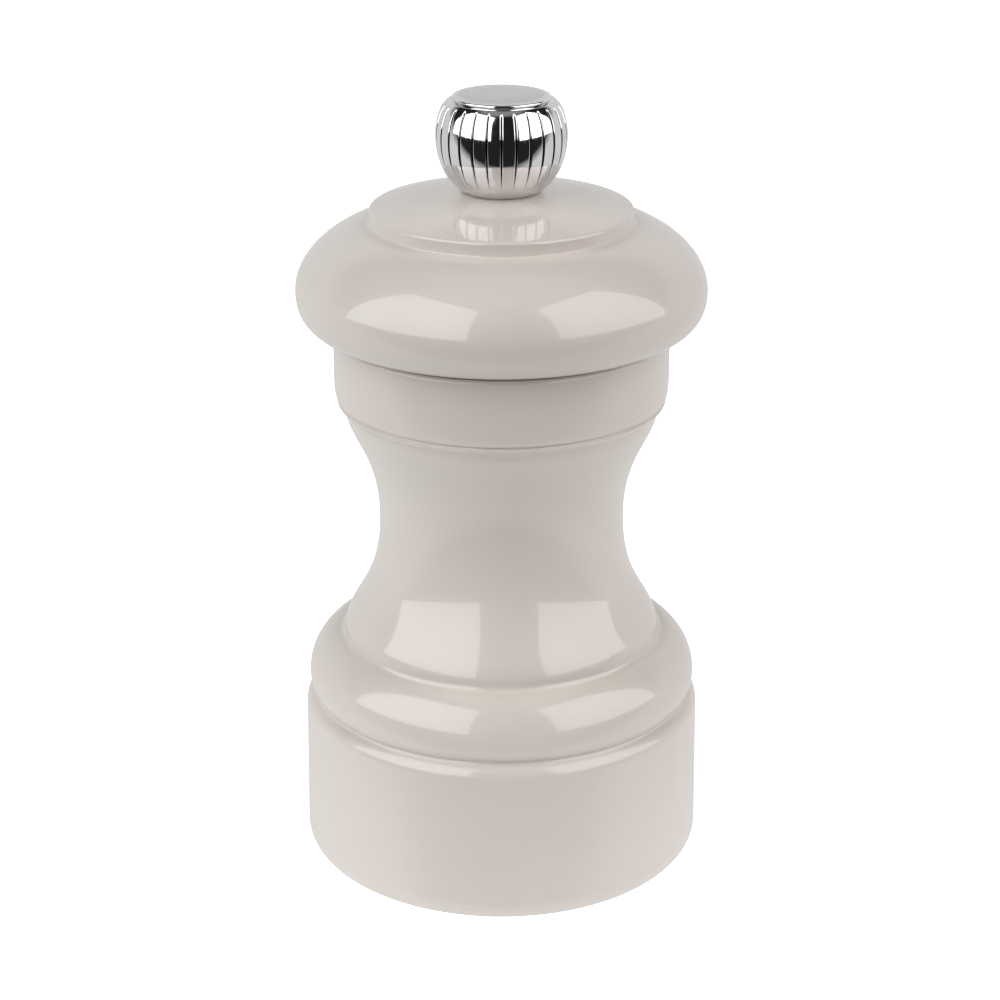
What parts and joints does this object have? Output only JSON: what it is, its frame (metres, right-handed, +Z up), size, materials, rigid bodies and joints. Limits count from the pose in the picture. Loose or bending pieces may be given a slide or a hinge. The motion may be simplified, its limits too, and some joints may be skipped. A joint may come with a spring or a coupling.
{
  "type": "pepper mill",
  "caption": "Small lacquered wooden pepper mill with a turning head, a fluted metal knob that sets the grind and a steel grinder in its base.",
  "frame": {"origin": "centre of the base on the table", "axes": "+Z up along the shaft, from the base to the knob"},
  "size_m": [0.0514, 0.0514, 0.1002],
  "materials": {
    "lacquer": "gloss lacquer",
    "chrome": "polished",
    "steel": "satin",
    "grinder_steel": "hardened, dark",
    "brass": "satin"
  },
  "bodies": {
    "body": {"turned_body": "lacquer", "mill_housing": "steel", "housing_screws": "steel", "grinder_ring": "grinder_steel", "bridge": "steel", "bridge_rivets": "steel"},
    "guide": {"shaft_guide": "brass", "spring": "steel"},
    "spindle": {"drive_shaft": "steel", "shaft_clip": "steel", "male_grinder": "grinder_steel", "grinder_washer": "steel", "grinder_screw": "steel", "spring_washer": "steel"},
    "head": {"turned_head": "lacquer", "drive_plate": "steel", "drive_plate_screws": "steel"},
    "knob": {"knob_shell": "chrome", "knob_cap": "chrome", "knob_insert": "brass"}
  },
  "joints": [
    {"name": "grind_turn", "type": "hinge", "parent": "body", "child": "guide", "pos_m": [0, 0, 0.025], "axis": [0, 0, 1], "continuous": true},
    {"name": "grind_setting", "type": "slide", "parent": "guide", "child": "spindle", "axis": [0, 0, 1], "range_m": [-0.0008, 0.0004], "deforming": ["spring"]},
    {"name": "head_lift", "type": "slide", "parent": "guide", "child": "head", "axis": [0, 0, 1], "range_m": [0, 0.045]},
    {"name": "knob_turn", "type": "hinge", "parent": "head", "child": "knob", "pos_m": [0, 0, 0.095], "axis": [0, 0, 1], "range_deg": [-180, 360]}
  ],
  "couplings": [
    {"joint": "knob_turn", "follows": "grind_setting", "rad_per_m": -7854}
  ]
}
